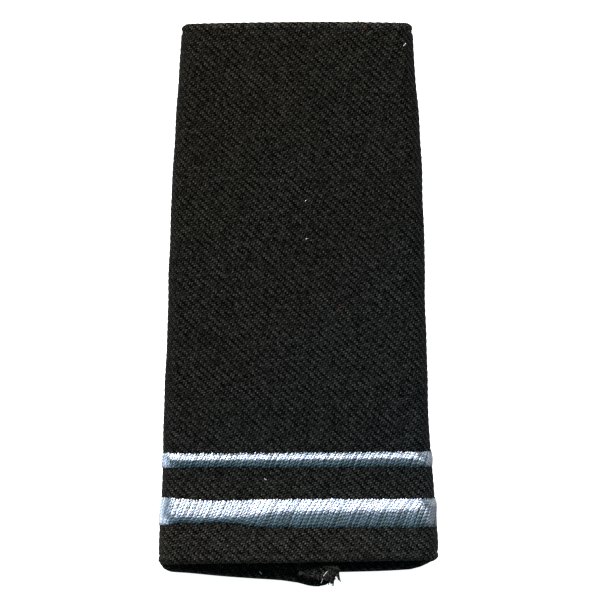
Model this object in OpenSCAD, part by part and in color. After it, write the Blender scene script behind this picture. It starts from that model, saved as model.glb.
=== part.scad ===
// Slip-on shoulder mark: a tapered sleeve of black twill that slides over a
// uniform's shoulder strap, with a narrow and a wide band of satin stitch
// across its shoulder end. It lies on its back: +Z out of the front, +Y to the
// collar end, +X to the right as seen from the front. Millimetres.
// The origin is the middle of the back's flat, on the table.

/* [Sleeve] */
// Length of the front, from the shoulder end to the collar end
sleeve_l = 108; // [95:1:120]
// Width at the collar end, the narrow one
collar_w = 46.6; // [43:0.1:50]
// Width at the shoulder end, the wide one
shoulder_w = 56.1; // [52:0.1:60]
// Thickness of one layer of cloth
cloth_t = 1; // [1:0.05:1.15]
// Height of the front above the table at the two mouths
mouth_h = 8.6; // [8.6:0.1:10]
// How far the front dips halfway between the mouths
waist_dip = 0.7; // [0:0.1:0.8]
// Height of the two side creases above the table
crease_h = 3.3; // [2.8:0.1:4]
// How far in from a crease the front starts to curve down
front_round = 3.5; // [2.5:0.1:5]
// How far in from a crease the back starts to curve up
back_round = 6; // [5:0.1:7.5]
// How pointed the creases are, 1 being round
crease_sharp = 1.2; // [1:0.05:1.4]
// Extra height of the front along its middle line
crown = 0.15; // [0:0.05:0.4]
// Greatest distance of a side edge from a straight taper
side_bow = 0.77; // [0:0.01:1]

/* [Mouths] */
// Radius of the sleeve's four corners, seen from the front
corner_r = 0.4; // [0.2:0.1:1]
// How far the collar end's edge falls back, a half width from its peak
collar_bow = 0.27; // [0:0.01:0.6]
// Place of that peak, right of the middle
collar_peak = 4.6; // [-6:0.1:6]
// How far the back hangs out past the front at the shoulder end
back_hang = 5; // [2:0.1:6]
// Length over which the hang of the back fades out
hang_fade = 16; // [12:1:20]
// Width of the rolled edge at each mouth
roll_w = 1.3; // [1.2:0.1:2]
// Depth of the groove behind a rolled edge
groove_d = 0.25; // [0.1:0.05:0.4]
// Width of that groove
groove_w = 0.9; // [0.6:0.1:1.4]

/* [Hems] */
// Length of cloth turned in at each mouth
hem_l = 9; // [6:0.5:12]
// Gap between two layers of cloth that lie on each other
layer_gap = 0.05; // [0.05:0.01:0.1]
// How far the turned-in cloth stands back from the mouth
hem_set = 0.25; // [0.1:0.05:0.6]

/* [Back seam] */
// Place of the seam, right of the middle
seam_x = 3.9; // [-5:0.1:6]
// Width of the slit where the two flaps of the back meet
seam_slit = 0.3; // [0.2:0.05:0.6]
// How far the flaps' edges are rounded off into the slit
seam_soft = 0.3; // [0.1:0.05:0.5]
// Width of the seam allowance, pressed open inside the sleeve
allow_w = 8.2; // [6:0.1:10]
// Clearance between the allowance and a hem beside it
allow_clear = 0.35; // [0.2:0.05:0.6]
// How far the allowance stands back from the collar end
allow_set = 2; // [1:0.1:4]
// How far the frayed tail of the allowance reaches out of the shoulder end
tail_l = 3.6; // [3:0.1:4.2]
// How far the tail rises off the back
tail_rise = 5.4; // [3:0.1:5.5]

/* [Stripes] */
// Width of the narrow stripe
narrow_w = 2.85; // [2:0.05:4]
// Distance of the narrow stripe's middle from the shoulder end
narrow_y = 20.5; // [18:0.1:24]
// Width of the wide stripe
wide_w = 5.6; // [4.5:0.1:7]
// Distance of the wide stripe's middle from the shoulder end
wide_y = 9.86; // [8:0.02:12]
// Height of the narrow stripe's padded stitching over the cloth
narrow_h = 0.6; // [0.3:0.05:0.9]
// Height of the wide stripe's padded stitching over the cloth
wide_h = 0.75; // [0.3:0.05:1]
// Height of the stitching over the side creases, where it is pulled flat
crease_stitch_h = 0.3; // [0.25:0.05:0.5]
// Thickness of the stitching along a stripe's two edges
stripe_edge_h = 0.15; // [0.1:0.05:0.25]
// Greatest wave of the wide stripe's edges
edge_wave = 1.1; // [0:0.1:1.2]

/* [Hidden] */

// Numbers of steps round the sleeve: along each flap of the back, round each
// quarter beside a crease, and from each crease's quarter to the middle line.
back_n = 8;
quarter_n = 6;
front_n = 8;
crease_n = back_n + quarter_n;
half_n = crease_n + quarter_n + front_n;
path_n = 2 * half_n;
// Steps that a stripe runs on round a crease, under the sleeve.
wrap_n = 1;

// Side edges. Columns: share of the length from the shoulder end, then how far
// the left and the right edge stand out of a straight taper, in side_bows.
SIDES = [
    [0.00, 0.08, -0.04],
    [0.05, 0.17, 0.09],
    [0.15, -0.13, -0.47],
    [0.23, 0.17, -0.91],
    [0.30, 0.37, -1.00],
    [0.37, 0.29, -0.65],
    [0.45, 0.47, -0.57],
    [0.60, 0.77, -0.04],
    [0.74, 0.70, 0.13],
    [0.82, 0.57, 0.08],
    [0.93, 0.23, -0.66],
    [1.00, 0.08, -0.70],
];

// Edge of the shoulder end. Columns: place across, -1 at the left crease and 1
// at the right one, then how far the back hangs out and how far the front does,
// both in back_hangs.
HANG = [
    [-1.00, 0.11, 0.08],
    [-0.97, 0.33, 0.08],
    [-0.93, 0.41, 0.08],
    [-0.77, 0.46, 0.06],
    [-0.56, 0.58, 0.04],
    [-0.34, 0.67, 0.03],
    [-0.13, 0.74, 0.02],
    [0.00, 0.85, 0.01],
    [0.08, 0.98, 0.00],
    [0.14, 1.00, -0.01],
    [0.20, 0.93, -0.01],
    [0.25, 0.70, -0.02],
    [0.29, 0.42, -0.02],
    [0.37, 0.41, -0.03],
    [0.52, 0.39, -0.05],
    [0.66, 0.36, -0.07],
    [0.80, 0.31, -0.08],
    [0.89, 0.20, -0.08],
    [0.95, 0.05, -0.08],
    [1.00, -0.06, -0.08],
];

// The tail, a row for each section from where the allowance leaves the back.
// Columns: its right and its left end across, in half allowance widths from
// the seam, each followed by how far out of the mouth it lies, in tail_ls,
// and last the height over the back, in tail_rises.
TAIL = [
    [1.00, -2.40, -1.00, -2.40, 0.02],
    [1.00, -1.60, -1.00, -1.60, 0.18],
    [1.00, -0.80, -0.98, -0.80, 0.48],
    [0.99, -0.10, -0.96, -0.10, 0.73],
    [1.00, 0.36, -0.95, 0.33, 0.94],
    [1.08, 1.00, -0.92, 0.68, 1.00],
];

// Stitching of a stripe. Columns: place across the front, -1 at the left
// crease and 1 at the right one, then how far the lower edge stands up and the
// upper edge stands down, in edge_waves, and last where its crest lies between
// the lower edge, 0, and the upper one, 1.
NARROW_EDGES = [
    [-1.00, -0.07, 0.20, 0.55],
    [-0.20, 0.00, 0.08, 0.60],
    [0.50, 0.07, -0.05, 0.62],
    [1.00, 0.11, -0.16, 0.62],
];
WIDE_EDGES = [
    [-1.00, 0.40, -0.30, 0.32],
    [-0.94, 0.58, -0.25, 0.29],
    [-0.85, 0.91, -0.11, 0.28],
    [-0.77, 0.65, 0.11, 0.30],
    [-0.59, 0.91, 0.33, 0.27],
    [-0.42, 0.58, 0.25, 0.36],
    [-0.25, 0.13, 0.09, 0.53],
    [-0.07, 0.02, 0.05, 0.62],
    [0.10, -0.02, -0.02, 0.62],
    [0.45, 0.11, 0.02, 0.61],
    [0.80, 0.02, -0.04, 0.63],
    [0.88, 0.16, -0.07, 0.68],
    [1.00, 0.10, -0.10, 0.74],
];

// Turns, in degrees, at which a round edge gets a section.
ROUND = [12, 36, 60, 90];
// Places across a stripe or the allowance at which its surface gets a point.
ACROSS = [0, 0.1, 0.28, 0.5, 0.72, 0.9, 1];

function mix(a, b, t) = a + (b - a) * t;
function clamp(v) = max(0, min(1, v));
function smooth(v) = let (t = clamp(v)) t * t * (3 - 2 * t);
function column(table, c) = [for (row = table) [row[0], row[c]]];
function reversed(list) = [for (i = [len(list) - 1:-1:0]) list[i]];

// The front's half width on one side, 1 being the right and -1 the left.
function half_width(y, side) =
    let (share = y / sleeve_l + 0.5)
    mix(shoulder_w, collar_w, share) / 2
        + side_bow * lookup(share, column(SIDES, side > 0 ? 2 : 1));

function front_height(y) =
    mouth_h - waist_dip * pow(sin(180 * clamp(y / sleeve_l + 0.5)), 2);

// A point on one half of a section: k counts from the seam, over the crease,
// to the middle line of the front. The skin lies inset under the outer cloth.
function half_point(y, inset, k, side, slit) =
    let (half = half_width(y, side) - inset,
         rb = back_round - inset,
         rf = front_round - inset,
         low = crease_h - inset,
         top = front_height(y) - crown - inset,
         lower = (k - back_n) / quarter_n,
         upper = (k - crease_n) / quarter_n,
         over = (k - crease_n - quarter_n) / front_n)
    lower <= 0 ? [mix(side * seam_x + slit / 2, half - rb, k / back_n), inset]
    : upper <= 0 ? [half - rb + rb * pow(sin(90 * lower), crease_sharp),
                    inset + low * (1 - pow(cos(90 * lower), crease_sharp))]
    : over <= 0 ? [half - rf + rf * pow(cos(90 * upper), 1 / crease_sharp),
                   crease_h + (top - crease_h) * pow(sin(90 * upper), crease_sharp)]
    : [mix(half - rf, 0, over), top + crown * (1 - pow(1 - over, 2))];

// The same for the whole way round, from the seam's right to its left.
function round_point(y, inset, k, slit) =
    let (side = k <= half_n ? 1 : -1,
         p = half_point(y, inset, side > 0 ? k : path_n - k, side, slit))
    [side * p[0], p[1]];

// Where a section's point lies across the sleeve, from -1 to 1.
function across_share(k, slit) =
    let (side = k <= half_n ? 1 : -1,
         y = -sleeve_l / 2)
    side * half_point(y, 0, side > 0 ? k : path_n - k, side, slit)[0]
        / half_width(y, side);

function corner_pull(k) =
    let (half = shoulder_w / 2,
         u = clamp((abs(across_share(k, 0)) - 1) * half / corner_r + 1))
    corner_r * (1 - sqrt(1 - u * u));

// How far a section's point hangs out of the shoulder end: the back's column
// of the table holds up to the creases, the front's beyond them.
function hang(k, slit) =
    let (is_back = min(k, path_n - k) <= crease_n)
    back_hang * lookup(across_share(k, slit), column(HANG, is_back ? 1 : 2));

function bow(k) =
    let (half = collar_w / 2,
         x = across_share(k, 0) - collar_peak / half)
    -collar_bow * x * x;

// Where a section's point really lies along the sleeve: the shoulder end hangs
// out, the collar end bows and all four corners are rounded.
function along(y, k, slit) =
    let (from_shoulder = y + sleeve_l / 2,
         from_collar = sleeve_l / 2 - y,
         still = roll_w + groove_w,
         hang_here = 1 - smooth((from_shoulder - still) / (hang_fade - still)),
         shoulder_corner = 1 - clamp(from_shoulder / (2 * corner_r)),
         collar_corner = 1 - clamp(from_collar / (2 * corner_r)),
         bow_here = 1 - smooth((from_collar - still) / hang_fade))
    y - hang(k, slit) * hang_here
        + corner_pull(k) * (shoulder_corner - collar_corner)
        + bow(k) * bow_here;

function round_point_3d(y, inset, k, slit) =
    let (p = round_point(y, inset, k, slit))
    [p[0], along(y, k, slit), p[1]];

// One closed section of a wall round the sleeve, between two insets.
function wall_ring(y, outer, inner, outer_slit, inner_slit) = concat(
    [for (k = [0:path_n]) round_point_3d(y, outer, k, outer_slit)],
    [for (k = [path_n:-1:0]) round_point_3d(y, inner, k, inner_slit)]
);

// A closed solid through sections. Each section holds a path and then the
// same number of points on the way back, so its ends are closed as a strip.
module loft(rings) {
    n = len(rings[0]);
    last = (len(rings) - 1) * n;
    points = [for (ring = rings) for (p = ring) p];
    sides = [
        for (r = [0:len(rings) - 2], i = [0:n - 1])
            let (a = r * n + i, b = r * n + (i + 1) % n)
            each [[a, b, b + n], [a, b + n, a + n]]
    ];
    ends = [
        for (i = [0:n / 2 - 2])
            let (a = i, b = i + 1, c = n - 2 - i, d = n - 1 - i)
            each [[a, d, c], [a, c, b],
                  [last + a, last + b, last + c], [last + a, last + c, last + d]]
    ];
    polyhedron(points = points, faces = concat(sides, ends), convexity = 10);
}

// Sections of the sleeve from the mouth inwards: distance from the mouth and
// how deep the outer surface lies, for the rolled edge and its groove.
ROLL = concat(
    [for (a = ROUND) [cloth_t * (1 - cos(a)), cloth_t * (1 - sin(a))]],
    [[roll_w, 0],
     [roll_w + groove_w / 2, groove_d],
     [roll_w + groove_w, 0]]
);
// Shares of the length at which the sleeve gets a section between its mouths.
BODY = [0.05, 0.1, 0.15, 0.23, 0.3, 0.37, 0.45, 0.6, 0.74, 0.82, 0.93];

module sleeve() {
    outer_slit = seam_slit + 2 * seam_soft;
    end_y = sleeve_l / 2;
    shoulder = [for (s = ROLL)
        wall_ring(s[0] - end_y, s[1], cloth_t, outer_slit, seam_slit)];
    body = [for (share = BODY)
        wall_ring((share - 0.5) * sleeve_l, 0, cloth_t, outer_slit, seam_slit)];
    collar = [for (s = reversed(ROLL))
        wall_ring(end_y - s[0], s[1], cloth_t, outer_slit, seam_slit)];
    color("#1f1f1d") loft(concat(shoulder, body, collar));
}

// Sections of a hem from its mouth inwards: distance from the mouth and how
// thick the turned-in layer is there.
HEM = concat(
    [for (a = ROUND) [hem_set + cloth_t * (1 - cos(a)), cloth_t * sin(a)]],
    [for (t = [1, 2] / 3) [hem_l * t, cloth_t]],
    [[hem_l - cloth_t / 2, cloth_t], [hem_l, cloth_t * 0.5]]
);

// One hem: a layer inside the sleeve, left open where the allowance lies.
module hem(at_collar) {
    inset = cloth_t + layer_gap;
    slit = allow_w + 2 * allow_clear;
    sections = at_collar ? reversed(HEM) : HEM;
    rings = [for (s = sections)
        let (y = at_collar ? sleeve_l / 2 - s[0] : s[0] - sleeve_l / 2)
        wall_ring(y, inset, inset + s[1], slit, slit)];
    color("#242421") loft(rings);
}

module top_hem() hem(at_collar = true);

module bottom_hem() hem(at_collar = false);

// One section of the allowance, from its right end to its left and back.
function strip_ring(right, left) = concat(
    [for (t = ACROSS)
        let (edge = 1 - 0.5 * pow(2 * t - 1, 8))
        mix(right, left, t) + [0, 0, cloth_t * (1 + edge) / 2]],
    [for (t = reversed(ACROSS))
        let (edge = 1 - 0.5 * pow(2 * t - 1, 8))
        mix(right, left, t) + [0, 0, cloth_t * (1 - edge) / 2]]
);

module seam_allowance() {
    half = allow_w / 2;
    floor_z = cloth_t + layer_gap;
    mouth_y = -sleeve_l / 2;
    strip = [for (t = [0:0.2:1])
        let (y = mix(sleeve_l / 2 - allow_set, mouth_y + 3 * tail_l, t))
        strip_ring([seam_x + half, y, floor_z], [seam_x - half, y, floor_z])];
    tail = [for (s = TAIL)
        let (z = floor_z + tail_rise * s[4])
        strip_ring([seam_x + half * s[0], mouth_y - tail_l * s[1], z],
                   [seam_x + half * s[2], mouth_y - tail_l * s[3], z])];
    color("#2a2826") loft(reversed(concat(strip, tail)));
}

// A point over the sleeve's skin, straight across it.
function skin_point(y, inset, k) =
    let (p = round_point(y, inset, k, 0))
    [p[0], y, p[1]];

// Height of a stripe's stitching, in shares, for its crest's place.
function satin(v, crest) =
    v < crest ? sin(90 * v / crest) : sin(90 * (1 - v) / (1 - crest));

// A stripe of satin stitch over the front, from crease to crease.
module stripe(middle_y, width, height, edges) {
    first = crease_n - wrap_n;
    rings = [for (k = [first:path_n - first])
        let (x = across_share(k, 0),
             low = middle_y - width / 2
                 + edge_wave * lookup(x, column(edges, 1)),
             high = middle_y + width / 2
                 - edge_wave * lookup(x, column(edges, 2)),
             crest = lookup(x, column(edges, 3)),
             top = mix(height, crease_stitch_h, pow(abs(x), 12)))
        concat(
            [for (v = ACROSS)
                let (rise = mix(stripe_edge_h, top, satin(v, crest)))
                skin_point(mix(low, high, v), -layer_gap - rise, k)],
            [for (v = reversed(ACROSS))
                skin_point(mix(low, high, v), -layer_gap, k)]
        )];
    color("#8d9fb0") loft(reversed(rings));
}

module narrow_stripe()
    stripe(narrow_y - sleeve_l / 2, narrow_w, narrow_h, NARROW_EDGES);

module wide_stripe()
    stripe(wide_y - sleeve_l / 2, wide_w, wide_h, WIDE_EDGES);

sleeve();
top_hem();
bottom_hem();
seam_allowance();
narrow_stripe();
wide_stripe();
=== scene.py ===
# %% [markdown]
# A slip-on shoulder mark: a soft sleeve of black twill that slides over a uniform's shoulder
# strap. Two bands of satin stitch in silver-blue rayon cross its wide end. This lesson dresses the
# plain solids of the frame: it wraps a strip of cloth into the sleeve, lays every strand of the
# two bands, sews the hems and the back seam, and lights it all as a flatbed scanner does.

# %% Load the frame
import math

import bmesh
import bpy
import numpy as np
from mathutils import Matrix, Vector


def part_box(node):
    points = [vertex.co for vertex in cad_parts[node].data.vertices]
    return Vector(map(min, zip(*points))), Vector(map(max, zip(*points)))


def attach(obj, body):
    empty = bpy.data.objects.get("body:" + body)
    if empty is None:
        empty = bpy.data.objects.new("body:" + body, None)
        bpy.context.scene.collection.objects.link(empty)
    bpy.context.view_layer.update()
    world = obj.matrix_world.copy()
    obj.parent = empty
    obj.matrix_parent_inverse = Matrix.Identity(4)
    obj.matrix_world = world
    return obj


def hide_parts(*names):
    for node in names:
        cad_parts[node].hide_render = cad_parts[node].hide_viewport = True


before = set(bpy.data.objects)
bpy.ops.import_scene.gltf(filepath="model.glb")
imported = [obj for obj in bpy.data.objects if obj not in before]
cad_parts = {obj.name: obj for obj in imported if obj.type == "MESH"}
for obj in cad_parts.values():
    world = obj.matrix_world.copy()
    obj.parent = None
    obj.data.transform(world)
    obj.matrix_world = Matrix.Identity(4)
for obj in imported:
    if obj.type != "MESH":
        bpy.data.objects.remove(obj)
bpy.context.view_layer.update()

MM = 0.001

# %% [markdown]
# The photograph is a scan from straight above, so it has no perspective. A camera far away with a
# very long lens comes close to that, and unlike an orthographic one it can still be moved round
# the object. The picture takes in 120 mm, and its middle lies a little right of and below the
# sleeve's own middle.

# %% Camera
VIEW_SPAN = 119.8 * MM
VIEW_MIDDLE = (0.29 * MM, -1.6 * MM)
CAMERA_HEIGHT, FAR_END = 2.6, 20.0
SENSOR = 36.0

camera_data = bpy.data.cameras.new("copy_stand_camera")
camera_data.sensor_width = SENSOR
sleeve_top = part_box("sleeve")[1][2]
camera_data.lens = SENSOR * (CAMERA_HEIGHT - sleeve_top) / VIEW_SPAN
camera_data.clip_end = FAR_END
camera = bpy.data.objects.new("copy_stand_camera", camera_data)
camera.location = (*VIEW_MIDDLE, CAMERA_HEIGHT)
bpy.context.collection.objects.link(camera)
bpy.context.scene.camera = camera
print("lens", round(camera_data.lens), "mm")

# %% [markdown]
# A scanner's lamp is a long bright tube on one side of the line that it reads, here the collar
# side. It makes the collar side of each raised strand shine and leaves the other side dull. The
# light comes from the whole length of the tube, so a fan of sun lamps with wide discs stands for
# it, as strong all over the sleeve as the tube that travels along it. A weak blue sky fills the
# shadows.

# %% Light
LAMP_HEIGHT_DEG, LAMP_DISC_DEG = 55, 22
LAMP_STRENGTH = 2.2
LAMP_FAN_DEG = (-38, -20, -2, 16)
LAMP_AWAY = 0.4
SKY_STRENGTH = 0.4


def linear(hex_colour):
    """An sRGB hex colour as linear red, green, blue and alpha."""
    shares = [int(hex_colour[i:i + 2], 16) / 255 for i in (1, 3, 5)]
    return (*[c / 12.92 if c <= 0.04045 else ((c + 0.055) / 1.055) ** 2.4 for c in shares], 1.0)


rise = math.radians(LAMP_HEIGHT_DEG)
for degrees in LAMP_FAN_DEG:
    turn = math.radians(degrees)
    ahead = math.cos(turn)
    lamp_data = bpy.data.lights.new("scanner_lamp", "SUN")
    lamp_data.energy = LAMP_STRENGTH * ahead
    lamp_data.angle = math.radians(LAMP_DISC_DEG)
    lamp = bpy.data.objects.new("scanner_lamp", lamp_data)
    towards = Vector((math.sin(turn), ahead * math.cos(rise), ahead * math.sin(rise)))
    lamp.location = towards * LAMP_AWAY
    lamp.rotation_euler = towards.to_track_quat("Z", "Y").to_euler()
    bpy.context.collection.objects.link(lamp)

scene = bpy.context.scene
scene.view_settings.view_transform = "Standard"
scene.world = bpy.data.worlds.new("pale_sky")
scene.world.use_nodes = True
sky = scene.world.node_tree.nodes["Background"]
sky.inputs["Color"].default_value = linear("#b4dcec")
sky.inputs["Strength"].default_value = SKY_STRENGTH
print(len(LAMP_FAN_DEG), "lamps stand for the tube")

# %% [markdown]
# A material is a tree of nodes. One helper adds a node, sets its options and joins or fills its
# inputs. Everything else below is built from it, so that each line reads as one step of the
# recipe.

# %% A helper for node trees
# A Mix node keeps its two colours and their mixture at these places.
COLOUR_A, COLOUR_B, COLOUR_OUT = 6, 7, 2


def add(tree, kind, inputs=(), **options):
    """Adds a node. An input is a value, an output to link, or a node for its first output."""
    node = tree.nodes.new("ShaderNode" + kind)
    for name, value in options.items():
        setattr(node, name, value)
    pairs = inputs.items() if isinstance(inputs, dict) else enumerate(inputs)
    for name, value in pairs:
        if isinstance(value, bpy.types.Node):
            value = value.outputs[0]
        if isinstance(value, bpy.types.NodeSocket):
            tree.links.new(value, node.inputs[name])
        else:
            node.inputs[name].default_value = value
    return node


def blank_material(name):
    """A new material with only its output, and its tree."""
    made = bpy.data.materials.new(name)
    made.use_nodes = True
    made.node_tree.nodes.clear()
    return made, made.node_tree


def finish_material(tree, shader):
    """Joins the shader to the material's output."""
    add(tree, "OutputMaterial", {"Surface": shader})


# %% [markdown]
# Behind the sleeve is the scanner's white lid. It is lit from within a little, as paper on a light
# table is, so that the sleeve throws only the faintest shadow on it, as in the photograph.

# %% Floor
FLOOR_SIDE, FLOOR_DROP = 4.0, 0.02 * MM
FLOOR_GLOW = 0.9

bpy.ops.object.select_all(action="DESELECT")
bpy.ops.mesh.primitive_plane_add(size=FLOOR_SIDE, location=(0, 0, -FLOOR_DROP))
floor = bpy.context.object
floor.name = "white_lid"
# Board with a smooth white coat: matt and even, with no grain to show.
lid_white, lid_tree = blank_material("white lid board")
finish_material(lid_tree, add(lid_tree, "BsdfPrincipled", {
    "Base Color": linear("#f4f5f6"), "Roughness": 0.9,
    "Emission Color": linear("#ffffff"), "Emission Strength": FLOOR_GLOW}))
floor.data.materials.append(lid_white)
print("floor:", FLOOR_SIDE, "m wide")

# %% [markdown]
# The real sleeve is one strip of cloth: hemmed at both ends, folded round and sewn to itself down
# the back. Its shape follows a few sizes: the widths of the two ends, the height of the front, and
# how round the folded side edges are. The tables give what isn't straight: the wavering side
# edges, as in the photograph, and the uneven edge of the wide mouth, where the back hangs out past
# the front.

# %% Sizes of the sleeve, in millimetres
SLEEVE_L = 108.0
COLLAR_W, SHOULDER_W = 46.6, 56.1
CLOTH_T = 1.0
# Height at the mouths, how much lower the middle is, and how much the front's middle bulges.
MOUTH_H, WAIST_DIP, CROWN = 8.6, 0.7, 0.15
# Height of the side creases, the rounding above and below them, and how sharp they are.
CREASE_H, FRONT_ROUND, BACK_ROUND, CREASE_SHARP = 3.3, 3.5, 6.0, 1.2
SIDE_BOW = 0.77
CORNER_R = 0.4
COLLAR_BOW, COLLAR_PEAK = 0.27, 4.6
BACK_HANG, HANG_FADE = 5.0, 16.0
ROLL_W, GROOVE_W, GROOVE_D = 1.3, 0.9, 0.25
HEM_L, HEM_T = 9.0, 2.05
ALLOW_W, ALLOW_SET = 8.2, 2.0
# In the frame a slit of 0.3 mm parts the two flaps. Here the sewing has pulled it shut, and the
# flaps' outer edges are rounded over by SEAM_SOFT.
SEAM_X, SEAM_SLIT, SEAM_SOFT = 3.9, 0.001, 0.3
# Steps of half a section: along the back, round each side of the crease, and over the front.
BACK_N, QUARTER_N, FRONT_N = 8, 6, 8
CREASE_N = BACK_N + QUARTER_N
HALF_N = CREASE_N + QUARTER_N + FRONT_N
PATH_N = 2 * HALF_N
print("steps round one section:", PATH_N)

# %% Tables of the side edges and of the wide mouth
# Share of the length from the shoulder end; left and right edge off a straight taper, in side bows.
SIDES = np.array([
    (0.00, 0.08, -0.04), (0.05, 0.17, 0.09), (0.15, -0.13, -0.47), (0.23, 0.17, -0.91),
    (0.30, 0.37, -1.00), (0.37, 0.29, -0.65), (0.45, 0.47, -0.57), (0.60, 0.77, -0.04),
    (0.74, 0.70, 0.13), (0.82, 0.57, 0.08), (0.93, 0.23, -0.66), (1.00, 0.08, -0.70)])

# Place across, -1 to 1; how far the back and the front hang out of the shoulder end, in back hangs.
HANG = np.array([
    (-1.00, 0.11, 0.08), (-0.97, 0.33, 0.08), (-0.93, 0.41, 0.08), (-0.77, 0.46, 0.06),
    (-0.56, 0.58, 0.04), (-0.34, 0.67, 0.03), (-0.13, 0.74, 0.02), (0.00, 0.85, 0.01),
    (0.08, 0.98, 0.00), (0.14, 1.00, -0.01), (0.20, 0.93, -0.01), (0.25, 0.70, -0.02),
    (0.29, 0.42, -0.02), (0.37, 0.41, -0.03), (0.52, 0.39, -0.05), (0.66, 0.36, -0.07),
    (0.80, 0.31, -0.08), (0.89, 0.20, -0.08), (0.95, 0.05, -0.08), (1.00, -0.06, -0.08)])
print("the back hangs out by up to", BACK_HANG * HANG[:, 1].max(), "mm")

# %% [markdown]
# One section of the sleeve is a flat back, a crease at each side and a nearly flat front. It could
# be drawn as a curve and swept, but then the hems and the bands could not follow it exactly. So it
# is a function: it takes the place along the sleeve, the depth under its surface and the step
# round it, and all the pieces of the object are laid with it.

# %% The form of one section
def mix(a, b, share):
    return a + (b - a) * share


def smooth(value):
    part = np.clip(value, 0, 1)
    return part * part * (3 - 2 * part)


def half_width(y, side):
    """Distance of a side edge from the middle line. The wavering edge is eased over 4 mm."""
    shares = [(y + step) / SLEEVE_L + 0.5 for step in (-2, -1, 0, 1, 2)]
    waver = [np.where(side > 0, np.interp(s, SIDES[:, 0], SIDES[:, 2]),
                      np.interp(s, SIDES[:, 0], SIDES[:, 1])) for s in shares]
    return mix(SHOULDER_W, COLLAR_W, y / SLEEVE_L + 0.5) / 2 + SIDE_BOW * sum(waver) / len(waver)


def section(y, inset, k, slit):
    """Points across the sleeve: k counts from the seam's right, over the front, to its left."""
    side = np.where(k <= HALF_N, 1.0, -1.0)
    step = np.where(side > 0, k, PATH_N - k)
    half = half_width(y, side) - inset
    back_r, front_r = BACK_ROUND - inset, FRONT_ROUND - inset
    dip = WAIST_DIP * np.sin(np.pi * np.clip(y / SLEEVE_L + 0.5, 0, 1)) ** 2
    top = MOUTH_H - dip - CROWN - inset
    lower = np.clip((step - BACK_N) / QUARTER_N, 0, 1) * np.pi / 2
    upper = np.clip((step - CREASE_N) / QUARTER_N, 0, 1) * np.pi / 2
    over = np.clip((step - CREASE_N - QUARTER_N) / FRONT_N, 0, 1)
    below = step <= CREASE_N
    x_back = mix(side * SEAM_X + slit / 2, half - back_r, np.clip(step / BACK_N, 0, 1))
    x_low = half - back_r + back_r * np.sin(lower) ** CREASE_SHARP
    x_high = half - front_r + front_r * np.abs(np.cos(upper)) ** (1 / CREASE_SHARP)
    x_high = np.where(over > 0, mix(half - front_r, 0, over), x_high)
    x = np.where(step <= BACK_N, x_back, np.where(below, x_low, x_high))
    z_low = inset + (CREASE_H - inset) * (1 - np.cos(lower) ** CREASE_SHARP)
    z_high = CREASE_H + (top - CREASE_H) * np.sin(upper) ** CREASE_SHARP
    z = np.where(below, z_low, z_high) + CROWN * (1 - (1 - over) ** 2)
    return side * x, z


# %% The form along the sleeve
def across_share(k, slit):
    """Where a point lies across the sleeve at its shoulder end, from -1 to 1."""
    y = np.full_like(k, -SLEEVE_L / 2)
    side = np.where(k <= HALF_N, 1.0, -1.0)
    return section(y, 0.0, k, slit)[0] / half_width(y, side)


def along(y, k, slit):
    """Where a point lies along the sleeve, with the uneven mouths and the round corners."""
    share = across_share(k, slit)
    plain = across_share(k, 0.0)
    under = np.minimum(k, PATH_N - k) <= CREASE_N
    hang = BACK_HANG * np.where(under, np.interp(share, HANG[:, 0], HANG[:, 1]),
                                np.interp(share, HANG[:, 0], HANG[:, 2]))
    at_corner = np.clip((np.abs(plain) - 1) * SHOULDER_W / 2 / CORNER_R + 1, 0, 1)
    pull = CORNER_R * (1 - np.sqrt(1 - at_corner ** 2))
    bow = -COLLAR_BOW * (plain - 2 * COLLAR_PEAK / COLLAR_W) ** 2
    from_shoulder, from_collar = y + SLEEVE_L / 2, SLEEVE_L / 2 - y
    still = ROLL_W + GROOVE_W
    corner = (1 - np.clip(from_shoulder / (2 * CORNER_R), 0, 1)) \
        - (1 - np.clip(from_collar / (2 * CORNER_R), 0, 1))
    return y - hang * (1 - smooth((from_shoulder - still) / (HANG_FADE - still))) \
        + pull * corner + bow * (1 - smooth((from_collar - still) / HANG_FADE))


def skin(y, inset, k, slit=0.0):
    """Points of the sleeve for all pairs of y, k and inset, in millimetres."""
    x, z = section(y, inset, k, slit)
    return np.stack([x, along(y, k, slit), z], axis=-1)


end_y = SLEEVE_L / 2
corner_points = skin(np.array([-end_y, end_y]), 0.0, np.array([float(CREASE_N)] * 2))
print("right crease at the two ends, mm:", np.round(corner_points, 2).tolist())

# %% [markdown]
# The cloth is a 2/2 twill: each warp thread passes over two weft threads and under two, one step
# on from its neighbour, which raises diagonal ribs, the wales. Here a rib comes every 1.1 mm. The
# strip starts as a flat grid, one column for each step round the sleeve and one row for each step
# along it, and its points are then moved to where the cloth lies. The ribs are raised in the mesh
# itself, so that they also show at the folded edges, and the threads between them are left to the
# material.

# %% Threads of the twill, in millimetres
REPEAT = 4
WARP, WEFT = 0.397, 0.391
GRAIN_LEAN = 0.04
RIB_H, RIB_SHIFT = 0.04, 0.3
# Long waves of soft cloth: how many in a millimetre, across and along, and where each starts.
WAVES = ((0.031, 0.047, 0.3), (-0.052, 0.023, 1.9), (0.077, -0.064, 4.1), (0.019, 0.094, 2.6))


def ribs(u, v):
    """Height of the diagonal ribs at a place in the cloth."""
    return RIB_H * np.cos(2 * np.pi * (u / (REPEAT * WARP) + v / (REPEAT * WEFT) - RIB_SHIFT))


def unevenness(u, v):
    """Slow rise and fall of soft cloth, made of a few long waves."""
    return sum(np.sin(2 * np.pi * (a * u + b * v) + c) for a, b, c in WAVES) / len(WAVES)


print("a rib every", round(1 / math.hypot(1 / (REPEAT * WARP), 1 / (REPEAT * WEFT)), 2), "mm")

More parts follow.
